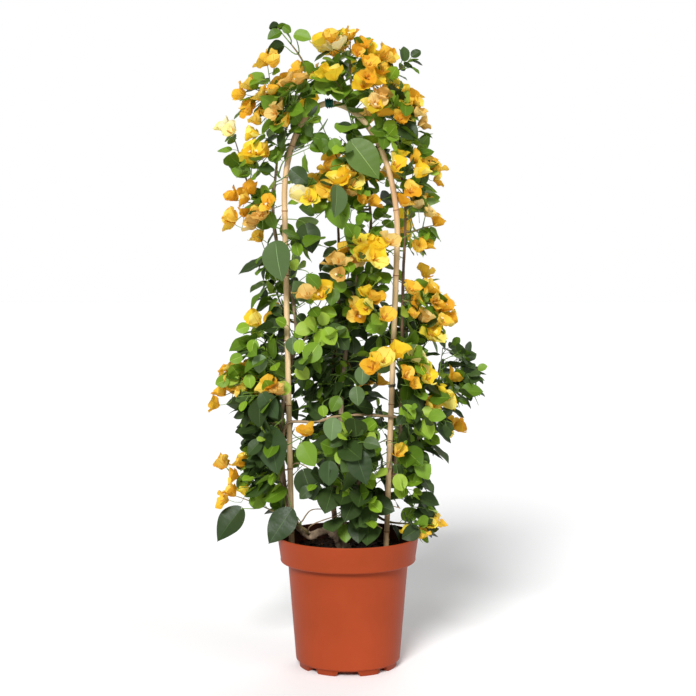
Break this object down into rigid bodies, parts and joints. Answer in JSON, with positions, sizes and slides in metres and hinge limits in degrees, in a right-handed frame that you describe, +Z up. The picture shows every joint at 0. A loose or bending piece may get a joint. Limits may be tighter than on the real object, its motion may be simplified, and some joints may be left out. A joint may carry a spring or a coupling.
{
  "type": "potted bougainvillea bush",
  "caption": "Young bougainvillea bush with orange and yellow bracts, trained on a bent cane hoop in a round notched plastic nursery pot.",
  "frame": {"origin": "on the pot's axis, at the level of the pot's foot", "axes": "+Z up along the pot's axis; the hoop stands in a plane parallel to XZ, and the bush's front faces -Y"},
  "size_m": [0.3872, 0.2861, 0.8769],
  "materials": {
    "pot": "satin terracotta-coloured plastic",
    "soil": "rough moist potting mix",
    "cane": "smooth dry cane",
    "tie": "dark green plastic-coated wire",
    "bark": "rough grey-brown bark",
    "foliage": "soft leaves, grey-green to yellow-green",
    "blossom": "papery bracts, orange to cream"
  },
  "bodies": {
    "root": {"bough_back": "bark", "bough_center": "bark", "bough_cross": "bark", "bough_front": "bark", "bough_left": "bark", "bough_left_foot": "bark", "bough_right": "bark", "bough_right_foot": "bark", "bough_top": "bark", "bough_top_left": "bark", "bough_top_right": "bark", "cane_clip": "tie", "cane_left": "cane", "cane_left_bend": "cane", "cane_right": "cane", "cane_right_bend": "cane", "cane_tie": "tie", "foliage_arch": "blossom", "foliage_arch_left": "blossom", "foliage_back_high": "blossom", "foliage_back_left": "foliage", "foliage_back_left_low": "foliage", "foliage_back_low": "foliage", "foliage_back_mid": "foliage", "foliage_back_right": "foliage", "foliage_back_right_high": "blossom", "foliage_back_right_low": "foliage", "foliage_back_top": "blossom", "foliage_back_top_left": "foliage", "foliage_back_top_right": "blossom", "foliage_crest": "blossom", "foliage_crest_left": "foliage", "foliage_dome": "foliage", "foliage_front": "foliage", "foliage_front_low": "foliage", "foliage_inner": "foliage", "foliage_inner_left": "blossom", "foliage_inner_low": "blossom", "foliage_left": "foliage", "foliage_left_dark": "foliage", "foliage_left_front": "foliage", "foliage_left_high": "blossom", "foliage_left_low": "foliage", "foliage_left_mid": "foliage", "foliage_mid": "blossom", "foliage_mid_left": "foliage", "foliage_right": "foliage", "foliage_right_front": "blossom", "foliage_right_high": "blossom", "foliage_right_low": "foliage", "foliage_right_mid": "blossom", "foliage_right_upper": "blossom", "foliage_rim_right": "foliage", "foliage_tip_right": "foliage", "foliage_top_left": "blossom", "foliage_top_mid": "blossom", "foliage_top_right": "blossom", "pot": "pot", "soil": "soil", "trunk": "bark"}
  },
  "joints": []
}
